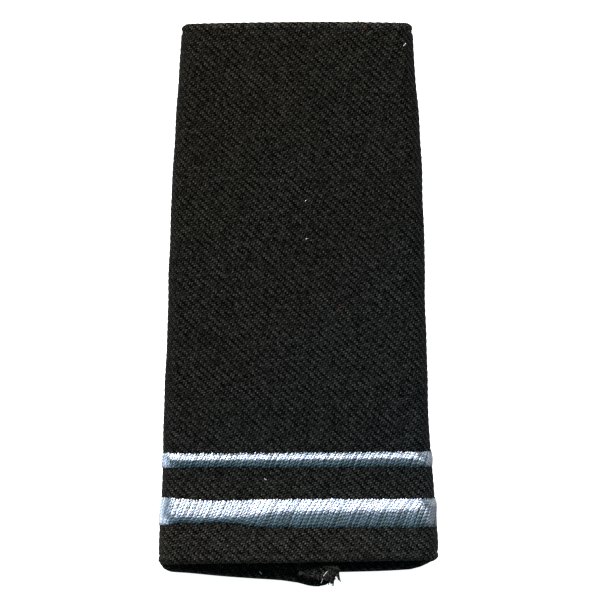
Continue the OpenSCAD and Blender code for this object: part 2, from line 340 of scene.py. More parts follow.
# %% Steps round the sleeve
# How far beside the allowance the hem has its full thickness, and the width in which it gets it.
HEM_CLEAR, HEM_BLEND = 0.6, 0.5


def runs(pieces):
    """Joins runs of even steps. A piece is a start, an end and a number of steps."""
    parts = [np.linspace(a, b, n, endpoint=False) for a, b, n in pieces]
    return np.append(np.concatenate(parts), pieces[-1][1])


# The columns are closest beside the seam, where the hem's layer ends, and round the creases.
right_half = runs([(0, 1.2, 4), (1.2, 2.2, 8), (2.2, BACK_N, 7), (BACK_N, CREASE_N, 20),
                   (CREASE_N, CREASE_N + QUARTER_N, 24), (CREASE_N + QUARTER_N, HALF_N, 60)])
columns = np.concatenate([right_half, PATH_N - right_half[-2::-1]])

# Two layers lie on each other at the hems, and only one where the seam allowance takes the room.
hem_x = section(np.full_like(columns, -end_y), 0.0, columns, SEAM_SLIT)[0]
on_back = np.minimum(columns, PATH_N - columns) <= BACK_N
beside_seam = smooth((ALLOW_W / 2 + HEM_CLEAR - np.abs(hem_x - SEAM_X)) / HEM_BLEND) * on_back
fold_t = mix(HEM_T, CLOTH_T, beside_seam)
print(len(columns), "columns round the sleeve")

# %% [markdown]
# Seen from the side, the strip runs out along the front of the cloth, turns in round the fold at
# the collar, comes back inside and turns out again at the shoulder. Each row has a place along the
# sleeve and a depth under its surface. The rows are closest at the folds and where the stitches
# pull it in.

# %% Steps along the sleeve
TURNS = np.radians([0, 20, 38, 55, 72, 90])
MOUTH_STEPS = np.array([1.15, 1.3, 1.45, 1.6, 1.75, 1.9, 2.05, 2.25, 2.5])
HEM_STEPS = [1.6, 3.0, 5.0, 7.0, HEM_L - 0.4, HEM_L - 0.1]
# The long runs of even rows: where the outside one starts, from either end, and their numbers.
LONG_START = 2.875
OUTSIDE_ROWS, INSIDE_ROWS = 267, 62


def fold_row(turn, end, layer):
    """A row on a fold: end is -1 at the shoulder or 1, layer is -1 outside or 1 inside."""
    return (end * (end_y - fold_t / 2 * (1 - math.cos(turn))),
            fold_t / 2 * (1 + layer * math.sin(turn)))


def flat_row(y, depth=0.0):
    """A row at one place along the sleeve, for all columns."""
    return y + 0 * fold_t, depth + 0 * fold_t


outer = [fold_row(turn, -1, -1) for turn in TURNS]
outer += [flat_row(y) for y in MOUTH_STEPS - end_y]
outer += [flat_row(y) for y in np.linspace(LONG_START - end_y, end_y - LONG_START, OUTSIDE_ROWS)]
outer += [flat_row(y) for y in end_y - MOUTH_STEPS[::-1]]
outer += [fold_row(turn, 1, -1) for turn in TURNS[::-1]]
inner = [fold_row(turn, 1, 1) for turn in TURNS[1:]]
inner += [flat_row(end_y - s, fold_t) for s in HEM_STEPS]
first_inside = len(outer) + len(inner)
inner += [flat_row(y, CLOTH_T) for y in np.linspace(end_y - HEM_L, HEM_L - end_y, INSIDE_ROWS)]
last_inside = len(outer) + len(inner)
inner += [flat_row(s - end_y, fold_t) for s in HEM_STEPS[::-1]]
inner += [fold_row(turn, -1, 1) for turn in TURNS[:0:-1]] + [outer[0]]

row_y = np.array([row[0] for row in outer + inner])
row_depth = np.array([row[1] for row in outer + inner])
rows, n_outer = len(row_y), len(outer)
slit = np.where(np.arange(rows) < n_outer, SEAM_SLIT + 2 * SEAM_SOFT, SEAM_SLIT)[:, None]
slit[0] = slit[-1] = slit[n_outer - 1] = SEAM_SLIT + SEAM_SOFT
ring = np.broadcast_to(columns, row_y.shape)
points = skin(row_y, row_depth, ring, slit)
print(rows, "rows, of which", n_outer, "outside")

# %% [markdown]
# To lay a weave on the cloth, every point needs its place in the flat cloth: how many millimetres
# of thread lie between it and the middle of the front. Both are measured on the folded points. So
# the weave keeps its size where the cloth turns round the side edges and over the hems.

# %% Places in the flat cloth
x0, z0 = section(row_y, 0.0, ring, 0.0)
steps_round = np.hypot(np.diff(x0, axis=1), np.diff(z0, axis=1))
round_from_seam = np.concatenate([np.zeros((rows, 1)), np.cumsum(steps_round, axis=1)], axis=1)
middle = len(columns) // 2
cloth_u = -(round_from_seam - round_from_seam[:, middle:middle + 1])

steps_along = np.linalg.norm(np.diff(points, axis=0), axis=2)
cloth_v = np.zeros_like(cloth_u)
start = n_outer // 2
cloth_v[start] = points[start, :, 1]
for r in range(start, rows - 1):
    cloth_v[r + 1] = cloth_v[r] + steps_along[r]
for r in range(start, 0, -1):
    cloth_v[r - 1] = cloth_v[r] - steps_along[r - 1]
cloth_v[first_inside:last_inside] = points[first_inside:last_inside, :, 1]
cloth_v[-1] = cloth_v[0]
for r in range(rows - 1, last_inside, -1):
    cloth_v[r - 1] = cloth_v[r] - steps_along[r - 1]

girth = round_from_seam[:, -1]

# %% [markdown]
# The cloth isn't smooth. Its ribs stand up a little, it rises and falls slowly, and the hems'
# stitches pull it into a groove with a dimple for each stitch. A sculptor would push it in and out
# by hand. Here each point moves along its own normal by a sum of these heights, all of a known
# size.

# %% Relief: ribs, the sunk stitch rows and the softness of the cloth
HEM_STITCH = 3.1
GROOVE_REACH, GROOVE_SHARE = 0.36, 0.75
DIMPLE_REACH, DIMPLE_SHARE = 0.45, 0.6
UNEVEN_H, UNEVEN_FADE = 0.12, 6
# The ribs begin under the side creases. Both are counted in steps round the section.
RIB_START, RIB_FADE = CREASE_N - 4, 3


def outward(grid):
    """Unit normals of a grid of points."""
    normal = np.cross(np.gradient(grid, axis=0), np.gradient(grid, axis=1))
    return normal / np.maximum(np.linalg.norm(normal, axis=2, keepdims=True), 1e-9)


normals = outward(points)
if normals[start, middle, 2] < 0:
    normals = -normals
is_outer = (np.arange(rows) < n_outer)[:, None]
from_edge = np.minimum(row_y + end_y, end_y - row_y)
from_crease = np.minimum(ring, PATH_N - ring) - RIB_START
sunk = np.exp(-((from_edge - ROLL_W - GROOVE_W / 2) / GROOVE_REACH) ** 2)
dimple = np.exp(-((np.mod(cloth_u, HEM_STITCH) - HEM_STITCH / 2) / DIMPLE_REACH) ** 2)
grain_u = cloth_u + GRAIN_LEAN * cloth_v
relief = ribs(grain_u, cloth_v) * smooth(from_crease / RIB_FADE) * (1 - sunk)
relief += UNEVEN_H * unevenness(cloth_u, row_y) * smooth(from_edge / UNEVEN_FADE)
relief -= GROOVE_D * sunk * (GROOVE_SHARE + DIMPLE_SHARE * dimple)
on_fold = np.abs(np.arange(rows) - (n_outer - 1)) < len(TURNS)
on_fold |= (np.arange(rows) < len(TURNS)) | (np.arange(rows) > rows - len(TURNS))
relief *= np.where(is_outer | on_fold[:, None], 1.0, 0.0)
points = points + normals * relief[:, :, None]
# The lid presses the back flat, so nothing reaches below it.
points[:, :, 2] = np.maximum(points[:, :, 2], 0)
points[-1] = points[0]
print("relief from", round(relief.min(), 2), "to", round(relief.max(), 2), "mm")

# %% [markdown]
# A grid primitive has its points in rows, as the arrays above do, so its points take their places
# one for one. Its UV map keeps the place in the flat cloth. The two long edges of the strip meet
# at the seam, where small triangles join the outside of each flap to its inside.

# %% A helper for grids that are moved into place
UV_UNIT = 100


def laid_grid(name, grid, places):
    """A flat grid primitive whose points are moved in millimetres, with a UV map in 100 mm."""
    bpy.ops.object.select_all(action="DESELECT")
    bpy.ops.mesh.primitive_grid_add(x_subdivisions=grid.shape[1] - 1,
                                    y_subdivisions=grid.shape[0] - 1, size=1)
    piece = bpy.context.object
    piece.name = piece.data.name = name
    mesh = piece.data
    mesh.vertices.foreach_set("co", (grid * MM).ravel())
    corner = np.empty(len(mesh.loops), dtype=np.int32)
    mesh.loops.foreach_get("vertex_index", corner)
    mesh.uv_layers.active.name = "cloth"
    in_uv = places.reshape(-1, 2)[corner] / UV_UNIT
    mesh.uv_layers["cloth"].uv.foreach_set("vector", in_uv.ravel())
    mesh.update()
    return piece


def close_and_smooth(piece, angle=50):
    """Merges the doubled edge, turns all faces outwards and smooths the shading."""
    bpy.ops.object.select_all(action="DESELECT")
    piece.select_set(True)
    bpy.context.view_layer.objects.active = piece
    bpy.ops.object.mode_set(mode="EDIT")
    bpy.ops.mesh.select_all(action="SELECT")
    bpy.ops.mesh.remove_doubles(threshold=1e-7)
    bpy.ops.mesh.normals_make_consistent(inside=False)
    bpy.ops.object.mode_set(mode="OBJECT")
    bpy.ops.object.shade_smooth_by_angle(angle=math.radians(angle))


# %% The sleeve's mesh, closed along the back seam
def zip_up(mesh, first_chain, second_chain):
    """Fills the strip between two chains of points that start and end at the same places."""
    places = np.empty(len(mesh.vertices) * 3)
    mesh.vertices.foreach_get("co", places)
    y = places[1::3]
    build = bmesh.new()
    build.from_mesh(mesh)
    build.verts.ensure_lookup_table()
    i, j = 0, 0
    while i < len(first_chain) - 1 or j < len(second_chain) - 1:
        step_first = j == len(second_chain) - 1 or (
            i < len(first_chain) - 1 and y[first_chain[i + 1]] <= y[second_chain[j + 1]])
        a, b = first_chain[i], second_chain[j]
        c = first_chain[i + 1] if step_first else second_chain[j + 1]
        i, j = (i + 1, j) if step_first else (i, j + 1)
        if i + j > 1 and len({a, b, c}) == 3:
            build.faces.new([build.verts[n] for n in (a, b, c)])
    build.to_mesh(mesh)
    build.free()


sleeve = laid_grid("sleeve_cloth", points, np.stack([grain_u, cloth_v], axis=-1))
width = len(columns)
for column in (0, width - 1):
    out_chain = [r * width + column for r in range(n_outer)]
    in_chain = [r * width + column for r in range(rows - 1, n_outer - 2, -1)]
    zip_up(sleeve.data, out_chain, in_chain)
close_and_smooth(sleeve)
print("sleeve:", len(sleeve.data.polygons), "faces")

# %% [markdown]
# The cloth's material is a 2/2 twill drawn thread by thread. The UV map gives the place in the
# flat cloth, which is divided by the thread spacing to count warp threads across and weft threads
# along. A warp thread is on top where the sum of the two counts, modulo 4, is 0 or 1, and else a
# weft thread is. Each stretch of thread on top, a float, is two threads long. It is round across,
# dips at its ends, and its fibres slant by the yarn's twist.

# %% Counting threads
WANDER_PER_MM, WANDER = 0.9, 0.3


def cloth_places(tree):
    """The UV map counted in threads, across and along. Noise lets the threads wander a little."""
    place = add(tree, "SeparateXYZ", (add(tree, "UVMap", uv_map="cloth"),))
    where = add(tree, "TexCoord").outputs["Object"]
    noise = add(tree, "TexNoise", {"Scale": WANDER_PER_MM / MM, "Detail": 1.0, "Vector": where})
    off = add(tree, "Math", (noise, 0.5), operation="SUBTRACT")
    wander = add(tree, "Math", (off, WANDER), operation="MULTIPLY")
    counts = []
    for n, spacing in ((0, WARP), (1, WEFT)):
        count = add(tree, "Math", (place.outputs[n], UV_UNIT / spacing), operation="MULTIPLY")
        counts.append(add(tree, "Math", (count, wander), operation="ADD"))
    return counts


# %% The floats' height
FLOAT_SLANT = 0.3
FLOAT_ENDS = 0.35


def crown(tree, share):
    """A rounded rise over a share from 0 to 1, highest at a half."""
    double = add(tree, "Math", (share, 2.0), operation="MULTIPLY")
    off = add(tree, "Math", (double, 1.0), operation="SUBTRACT")
    square = add(tree, "Math", (off, off), operation="MULTIPLY")
    left = add(tree, "Math", (1.0, square), operation="SUBTRACT")
    return add(tree, "Math", (left, 0.0), operation="MAXIMUM")


def float_height(tree, across, along_it):
    """Height of the threads that lie on top: rounded across, and lower at the float's ends."""
    warp_no, weft_no = (add(tree, "Math", (v,), operation="FLOOR") for v in (across, along_it))
    warp_in, weft_in = (add(tree, "Math", (v,), operation="FRACT") for v in (across, along_it))
    count = add(tree, "Math", (warp_no, weft_no), operation="ADD")
    phase = add(tree, "Math", (count, REPEAT), operation="FLOORED_MODULO")
    is_weft = add(tree, "Math", (phase, 1.5), operation="GREATER_THAN")
    skipped = add(tree, "Math", (is_weft, REPEAT / 2), operation="MULTIPLY")
    started = add(tree, "Math", (phase, skipped), operation="SUBTRACT")
    on_it = add(tree, "Mix", {"Factor": is_weft, "A": weft_in, "B": warp_in})
    gone = add(tree, "Math", (started, on_it), operation="ADD")
    run = add(tree, "Math", (gone, 0.5), operation="MULTIPLY")
    off_middle = add(tree, "Math", (run, 0.5), operation="SUBTRACT")
    slant = add(tree, "Math", (off_middle, FLOAT_SLANT), operation="MULTIPLY")
    beside_it = add(tree, "Mix", {"Factor": is_weft, "A": warp_in, "B": weft_in})
    side = add(tree, "Math", (beside_it, slant), operation="SUBTRACT")
    rounded = add(tree, "Math", (crown(tree, side),), operation="SQRT")
    bent = add(tree, "Math", (crown(tree, run), 1 - FLOAT_ENDS), operation="MULTIPLY")
    bent = add(tree, "Math", (bent, FLOAT_ENDS), operation="ADD")
    return add(tree, "Math", (rounded, bent), operation="MULTIPLY")


# %% [markdown]
# Seen close, the black cloth is a pattern of dark grey glints, painted here into its colour. Each
# warp thread comes up out of a hole, painted dark as shade. Above the hole its fibres lie square to
# the lamp and shine in one spot, a painted highlight, which leans with the yarn's twist, and a
# fainter one follows. The spots are soft ellipses: two painted highlights are added to an even
# grey, and a longer, narrower one is taken away, which paints the hole's shade. Each crossing also
# takes the light a little differently by chance. A height alone can't give this at the size of the
# picture.

# %% Painted glints and the painted shade of the holes
# Where each spot lies along the warp thread, in threads; half its width and length; its strength.
# The first two are painted highlights. The last one is taken away, which paints the hole's shade.
SPOTS = ((1.28, 0.57, 0.65, 0.92), (2.56, 0.70, 0.22, 0.28), (1.14, 0.38, 1.35, -1.00))
SPOT_LEAN = 0.9
GROUND, CHANCE = 0.07, 0.26


def spot(tree, beside, on_warp, centre, wide, long):
    """A soft spot of painted light on each warp thread, once in a repeat, leaning with the yarn's
    twist.
    """
    moved = add(tree, "Math", (on_warp, REPEAT / 2 - centre), operation="ADD")
    again = add(tree, "Math", (moved, REPEAT), operation="FLOORED_MODULO")
    ahead = add(tree, "Math", (again, REPEAT / 2), operation="SUBTRACT")
    lean = add(tree, "Math", (ahead, SPOT_LEAN), operation="MULTIPLY")
    off = add(tree, "Math", (beside, lean), operation="SUBTRACT")
    far = []
    for distance, size in ((off, wide), (ahead, long)):
        square = add(tree, "Math", (distance, distance), operation="MULTIPLY")
        far.append(add(tree, "Math", (square, -size ** -2), operation="MULTIPLY"))
    return add(tree, "Math", (add(tree, "Math", far, operation="ADD"),), operation="EXPONENT")


def float_painted_light(tree, across, along_it):
    """Tone of the threads with painted light, from 0 in the holes' painted shade to 1 on the
    brightest painted glints.
    """
    warp_no, weft_no = (add(tree, "Math", (v,), operation="FLOOR") for v in (across, along_it))
    number = add(tree, "CombineXYZ", (warp_no, weft_no, 0.0))
    chance = add(tree, "TexWhiteNoise", {"Vector": number}, noise_dimensions="3D").outputs["Value"]
    warp_in = add(tree, "Math", (across,), operation="FRACT")
    beside = add(tree, "Math", (warp_in, 0.5), operation="SUBTRACT")
    on_warp = add(tree, "Math", (warp_no, along_it), operation="ADD")
    tone_and_painted_light = add(tree, "Math", (chance, CHANCE), operation="MULTIPLY")
    tone_and_painted_light = add(tree, "Math", (tone_and_painted_light, GROUND), operation="ADD")
    for centre, wide, long, strength in SPOTS:
        # The first two spots are painted highlights; the last, taken away, paints the shade of the
        # hole.
        shape = spot(tree, beside, on_warp, centre, wide, long)
        glint = add(tree, "Math", (shape, strength), operation="MULTIPLY")
        tone_and_painted_light = add(tree, "Math", (tone_and_painted_light, glint), operation="ADD")
    return add(tree, "Math", (tone_and_painted_light, 0.0), operation="MAXIMUM")


# %% [markdown]
# The yarn is a wool mix, combed, spun as worsted and dyed black. Its loose fibres make the surface
# dull and break each glint into grains. A fibre is about 0.02 mm thick, too fine to show, so the
# noise that stands for it is drawn at a quarter of a millimetre. The dye has browned towards the
# collar's left corner and near the wide hem, and the cloth is drawn paler towards that hem and on
# the collar's edge.

# %% The twill's material
FLOAT_DEPTH = 0.08 * MM
FIBRES_PER_MM, FIBRE_BUMP = 4.2, 0.25
# Where each change starts and ends, and its share at both places.
HEM_PALING = (-32 * MM, -50 * MM, 0.0, 0.45)
COLLAR_PALING = (52 * MM, 53 * MM, 1.0, 1.6)
CORNER_BROWN = (-75 * MM, 60 * MM, 0.0, 1.0)
BLACK_DYE, PALE_TOPS, BROWN_TOPS = "#010101", "#4b5153", "#555147"

twill, tree = blank_material("dyed worsted twill")
across, along_it = cloth_places(tree)
tone_and_painted_light = float_painted_light(tree, across, along_it)
where = add(tree, "TexCoord").outputs["Object"]
place_x, place_y = add(tree, "SeparateXYZ", (where,)).outputs[:2]
# The cloth is drawn paler towards the wide hem and on the collar's edge.
near_hem = add(tree, "MapRange", (place_y, *HEM_PALING))
near_collar = add(tree, "MapRange", (place_y, *COLLAR_PALING))
paling = add(tree, "Math", (near_hem, near_collar), operation="ADD")
to_corner = add(tree, "Math", (place_y, place_x), operation="SUBTRACT")
to_corner = add(tree, "MapRange", (to_corner, *CORNER_BROWN))
browned = add(tree, "Math", (near_hem, to_corner), operation="ADD")

fuzz = add(tree, "TexNoise", {"Vector": where, "Scale": FIBRES_PER_MM / MM, "Detail": 2.0,
                              "Roughness": 0.7})
grains = add(tree, "Math", (fuzz, 4.0), operation="MULTIPLY")
grains = add(tree, "Math", (grains, 1.0), operation="SUBTRACT")
lit = tone_and_painted_light
for factor in (tone_and_painted_light, paling, grains):
    lit = add(tree, "Math", (lit, factor), operation="MULTIPLY")
lit = add(tree, "Math", (lit, 1.5), operation="MINIMUM")
tops = add(tree, "Mix", {"Factor": browned, COLOUR_A: linear(PALE_TOPS),
                         COLOUR_B: linear(BROWN_TOPS)}, data_type="RGBA", clamp_factor=False)
# The base colour: black dye, lifted towards the thread tops' colour by the painted glints and kept
# black in the painted shade of the holes.
dye_and_painted_light = add(tree, "Mix", {"Factor": lit, COLOUR_A: linear(BLACK_DYE),
                        COLOUR_B: tops.outputs[COLOUR_OUT]}, data_type="RGBA", clamp_factor=False)

fibres = add(tree, "Math", (fuzz, FIBRE_BUMP), operation="MULTIPLY")
height = add(tree, "Math", (float_height(tree, across, along_it), fibres), operation="ADD")
bump = add(tree, "Bump", {"Height": height, "Distance": FLOAT_DEPTH, "Strength": 1.0})
finish_material(tree, add(tree, "BsdfPrincipled", {
    "Base Color": dye_and_painted_light.outputs[COLOUR_OUT], "Roughness": 0.8, "Specular IOR Level": 0.005,
    "Normal": bump}))
sleeve.data.materials.clear()
sleeve.data.materials.append(twill)
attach(sleeve, "root")
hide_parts("sleeve", "top_hem", "bottom_hem")
print("twill:", len(tree.nodes), "nodes")

# %% [markdown]
# Every sewn thread is made alike: one thin cylinder is cut into steps along its length, an Array
# modifier makes a copy for each stitch, and each copy's points are then laid along the path of
# that stitch. Copies of one shape keep the mesh light, and no thread is a plain bar: all of them
# bend.

# %% A helper that cuts a rod into steps and copies it
# How far apart the copies stand until each is laid in its place.
COPY_APART = 3


def copied_rod(name, count, steps, sides):
    """Rods of radius 1 from z 0 to 1, with rings at even steps, and the points of one of them."""
    bpy.ops.object.select_all(action="DESELECT")
    bpy.ops.mesh.primitive_cylinder_add(vertices=sides, radius=1, depth=1, location=(0, 0, 0.5))
    piece = bpy.context.object
    piece.name = piece.data.name = name
    bpy.ops.object.transform_apply(location=True)
    mesh = piece.data
    bpy.context.tool_settings.mesh_select_mode = (False, True, False)
    bpy.ops.object.mode_set(mode="EDIT")
    bpy.ops.mesh.select_all(action="DESELECT")
    bpy.ops.object.mode_set(mode="OBJECT")
    for edge in mesh.edges:
        low, high = sorted(mesh.vertices[n].co.z for n in edge.vertices)
        edge.select = high - low > 0.5
    bpy.ops.object.mode_set(mode="EDIT")
    bpy.ops.mesh.subdivide(number_cuts=steps - 2)
    bpy.ops.object.mode_set(mode="OBJECT")
    bpy.context.tool_settings.mesh_select_mode = (True, False, False)
    one = np.empty(len(mesh.vertices) * 3)
    mesh.vertices.foreach_get("co", one)
    copies = piece.modifiers.new("copies", "ARRAY")
    copies.count = count
    copies.use_relative_offset = False
    copies.use_constant_offset = True
    copies.constant_offset_displace = (COPY_APART, 0, 0)
    bpy.ops.object.modifier_apply(modifier="copies")
    return piece, one.reshape(-1, 3)


# %% A helper that lays threads
# The brightness of a thread is drawn by chance between these two. A stroke up and a stroke down
# take the lamp differently, so every second one is painted brighter. Threads that lie under others
# are painted dim, as shade.
THREAD_LIGHT = (0.42, 0.83)
STROKE_CHANGE = 0.17
HIDDEN_SHARE = 0.55
chances = np.random.default_rng(11)


def lay_threads(name, paths, across_r, high_r, up=(0, 0, 1), sides=6, hidden=0):
    """Threads along paths (thread, step, place) in mm. The first few may lie under the others."""
    count, steps = paths.shape[:2]
    piece, one = copied_rod(name, count, steps, sides)
    mesh = piece.data
    step = np.rint(one[:, 2] * (steps - 1)).astype(int)
    ahead = np.gradient(paths, axis=1)
    ahead /= np.linalg.norm(ahead, axis=2, keepdims=True)
    beside = np.cross(ahead, np.broadcast_to(up, paths.shape))
    beside /= np.maximum(np.linalg.norm(beside, axis=2, keepdims=True), 1e-9)
    over = np.cross(beside, ahead)
    wide, high = (np.broadcast_to(r, paths.shape[:2])[:, step, None] for r in (across_r, high_r))
    places = paths[:, step] + beside[:, step] * one[:, 0, None] * wide \
        + over[:, step] * one[:, 1, None] * high
    mesh.vertices.foreach_set("co", (places * MM).ravel())

    # The UV map goes round the thread from 0 to 1, and along it in millimetres.
    gone = np.cumsum(np.linalg.norm(np.diff(paths, axis=1), axis=2), axis=1)
    length = np.concatenate([np.zeros((count, 1)), gone], axis=1)[:, step].ravel()
    corner = np.empty(len(mesh.loops), dtype=np.int32)
    mesh.loops.foreach_get("vertex_index", corner)
    uv = np.empty(len(mesh.loops) * 2)
    mesh.uv_layers.active.uv.foreach_get("vector", uv)
    uv[1::2] = length[corner]
    mesh.uv_layers.active.name = "thread"
    mesh.uv_layers["thread"].uv.foreach_set("vector", uv)

    light = chances.uniform(*THREAD_LIGHT, count) + STROKE_CHANGE * (-1.0) ** np.arange(count)
    # Threads underneath are painted dimmer, as shade.
    light[:hidden] *= HIDDEN_SHARE
    strand = mesh.attributes.new("strand", "FLOAT", "POINT")
    strand.data.foreach_set("value", np.repeat(light, len(one)))
    mesh.update()
    close_and_smooth(piece, angle=70)
    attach(piece, "root")
    print(f"{name}: {count} threads, {len(mesh.polygons)} faces")
    return piece


# %% [markdown]
# The bands are satin stitch: the needle goes to and fro across the band, closely enough to hide
# the cloth, over a padding that raises the band to a ridge. A stroke up and a stroke down share a
# needle hole, so the edges show small teeth. The strokes are real strands here, laid over the
# ridge, because the bands' whole look, white above the ridge and slate below it, comes from their
# slopes.

# %% Sizes of the bands, in millimetres
NARROW_W, NARROW_Y, NARROW_H = 2.85, 20.5, 0.6
WIDE_W, WIDE_Y, WIDE_H = 5.6, 9.86, 0.75
CREASE_STITCH_H, STRIPE_EDGE_H, EDGE_WAVE, LAYER_GAP = 0.3, 0.15, 1.1, 0.05
TOOTH = 0.57
STRAND_R, STRAND_H = 0.215, 0.115
SLANT_DEG = (70, 56)

# Place across, -1 to 1; lower edge up and upper edge down, in edge waves; the ridge's share of the
# band.
NARROW_EDGES = np.array([
    (-1.00, -0.07, 0.20, 0.55), (-0.20, 0.00, 0.08, 0.60), (0.50, 0.07, -0.05, 0.62),
    (1.00, 0.11, -0.16, 0.62)])
WIDE_EDGES = np.array([
    (-1.00, 0.40, -0.30, 0.32), (-0.94, 0.58, -0.25, 0.29), (-0.85, 0.91, -0.11, 0.28),
    (-0.77, 0.65, 0.11, 0.30), (-0.59, 0.91, 0.33, 0.27), (-0.42, 0.58, 0.25, 0.36),
    (-0.25, 0.13, 0.09, 0.51), (-0.07, 0.02, 0.05, 0.59), (0.10, -0.02, -0.02, 0.58),
    (0.45, 0.11, 0.02, 0.61), (0.80, 0.02, -0.04, 0.63), (0.88, 0.16, -0.07, 0.68),
    (1.00, 0.10, -0.10, 0.74)])
print("about", round(SHOULDER_W / TOOTH), "strokes side by side at the shoulder end")


# %% The ridge of a band
RIDGE_DROP = 1.2
CREASE_FADE = 12


def ridge(v, crest):
    """Height across a band: rounded up to the ridge, then nearly straight down."""
    up = np.sin(np.pi / 2 * np.clip(v / crest, 0, 1))
    down = 1 - np.clip((v - crest) / (1 - crest), 0, 1) ** RIDGE_DROP
    return np.where(v < crest, up, down)


def band_points(place, k, share, middle_y, width, height, edges, sink, spread):
    """Points of a band: place runs across it from 0 to 1, in shares of its two slopes."""
    low = middle_y - width / 2 + EDGE_WAVE * np.interp(share, edges[:, 0], edges[:, 1])
    high = middle_y + width / 2 - EDGE_WAVE * np.interp(share, edges[:, 0], edges[:, 2])
    low, high = low + spread[0], high + spread[1]
    crest = np.interp(share, edges[:, 0], edges[:, 3])
    v = np.where(place < 0.5, 2 * place * crest, crest + (2 * place - 1) * (1 - crest))
    top = mix(height, CREASE_STITCH_H, np.abs(share) ** CREASE_FADE)
    rise = mix(STRIPE_EDGE_H, top, ridge(v, crest)) - sink
    y = mix(low, high, v)
    x, z = section(y, -(LAYER_GAP + rise), k, 0.0)
    return np.stack([x, y, z], axis=-1)


# %% A helper for closed strips
def closed_strip(name, top, bottom):
    """A strip with a top and a bottom skin, rows by places across, closed all round."""
    around = np.concatenate([top, bottom[:, ::-1], top[:, :1]], axis=1)
    across = np.diff(around, axis=1, prepend=around[:, :1])
    down = np.diff(around, axis=0, prepend=around[:1])
    places = [np.cumsum(np.linalg.norm(steps, axis=2), axis=axis)
              for steps, axis in ((across, 1), (down, 0))]
    piece = laid_grid(name, around, np.stack(places, axis=-1))
    build = bmesh.new()
    build.from_mesh(piece.data)
    build.verts.ensure_lookup_table()
    size = around.shape[1]
    for start_of_row in (0, (len(around) - 1) * size):
        for i in range(top.shape[1] - 1):
            ids = (i, i + 1, size - 3 - i, size - 2 - i)
            build.faces.new([build.verts[start_of_row + n] for n in ids])
    build.to_mesh(piece.data)
    build.free()
    close_and_smooth(piece, angle=60)
    return piece


# %% [markdown]
# A stroke starts under the cloth, comes up at the lower edge, climbs the padding and dives in at
# the upper edge. Two layers of strokes lie on each other: the lower ones run nearly straight
# across, half hidden and painted dim as shade, and the upper ones lean. Chance moves each stroke's
# foot, its ends and its height a little, because a machine's thread never lies quite even.

# %% The strokes and the padding of a band
# A stroke's places across the band, as shares, and how deep each is sunk, in millimetres.
STROKE_PLACE = np.array([0, 0, 0.06, 0.16, 0.28, 0.4, 0.5, 0.57, 0.66, 0.78, 0.9, 1, 1])
STROKE_SINK = np.array([0.6, 0.12] + [STRAND_H] * 9 + [0.12, 0.6])
# The lower and the upper layer: how deep it lies, and whether its strokes lean.
LAYERS = ((0.2, 0.0), (0.0, 1.0))
FOOT_SPREAD, END_SPREAD, LIFT_SPREAD = 0.04, 0.07, 0.025
# The upper ends draw the cloth in by this share of the band's width.
END_PULL = 0.02
# The strokes are spaced along an arc that lies this high above the cloth.
ARC_STEPS, ARC_LIFT = 1601, 0.4
PAD_PLACE = np.array([0.04, 0.1, 0.2, 0.35, 0.5, 0.6, 0.75, 0.9, 0.96])
PAD_STEPS, PAD_DEPTHS = 121, (0.2, 0.3)


def stroke_layer(shape, arc, k_all, depth, leans):
    """The strokes of one layer, and the same strokes deeper down, to tell which way is up."""
    width = shape[1]
    foot = np.arange(-2 * width, arc[-1] + 2 * width, TOOTH)[:, None]
    foot = foot + chances.normal(0, FOOT_SPREAD, foot.shape) + depth * 2
    angle = np.radians(np.interp(foot, (0, arc[-1]), SLANT_DEG[::-1]))
    lean = leans * (0.5 - STROKE_PLACE) * width / np.tan(angle)
    at = foot + lean + (1 - leans) * (STROKE_PLACE - 0.5) * TOOTH
    at = at[(at.min(axis=1) > 0) & (at.max(axis=1) < arc[-1])]
    k = np.interp(at, arc, k_all)
    share = across_share(k, 0.0)
    pull = np.array((0, END_PULL * width))[:, None, None]
    spread = chances.normal(0, END_SPREAD, (2, len(at), 1)) - pull
    lift = chances.normal(0, LIFT_SPREAD, (len(at), 1)) - depth
    return [band_points(STROKE_PLACE, k, share, *shape, STROKE_SINK - lift + under, spread)
            for under in (0, 0.5)]


def band(name, node, *shape):
    """The strands and the padding of one band: its middle, width, height and edges."""
    k_all = np.linspace(CREASE_N - 1, PATH_N - CREASE_N + 1, ARC_STEPS)
    x, z = section(0 * k_all + shape[0], -ARC_LIFT, k_all, 0.0)
    arc = np.append(0, np.cumsum(np.hypot(np.diff(x), np.diff(z))))
    layers = [stroke_layer(shape, arc, k_all, *layer) for layer in LAYERS]
    paths, under = (np.concatenate([layer[n] for layer in layers]) for n in (0, 1))
    strands = lay_threads(name, paths, STRAND_R, STRAND_H, up=paths - under,
                          hidden=len(layers[0][0]))
    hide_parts(node)

    k_pad = np.linspace(CREASE_N - 0.9, PATH_N - CREASE_N + 0.9, PAD_STEPS)[:, None]
    k_pad = np.broadcast_to(k_pad, (PAD_STEPS, len(PAD_PLACE)))
    share = across_share(k_pad, 0.0)
    pads = [band_points(PAD_PLACE, k_pad, share, *shape, STRAND_H + depth, (0, 0))
            for depth in PAD_DEPTHS]
    pad = closed_strip(name + "_padding", *pads)
    pad.data.uv_layers["cloth"].name = "thread"
    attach(pad, "root")
    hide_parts(node)
    return strands, pad


narrow = band("narrow_band", "narrow_stripe", NARROW_Y - end_y, NARROW_W, NARROW_H, NARROW_EDGES)
wide = band("wide_band", "wide_stripe", WIDE_Y - end_y, WIDE_W, WIDE_H, WIDE_EDGES)

# %% [markdown]
# The strands are rayon, a smooth and shiny thread of two plies twisted together. Its filaments
# mirror light along the strand, so a slope that faces the lamp goes white, and the rest keeps the
# slate blue. The same recipe with a rougher, duller thread serves for the sewing threads and the
# lint. The ply's fibres are far finer than the picture shows, so they are drawn as noise of about
# a third of a millimetre and as a highlight that is stretched round the thread.

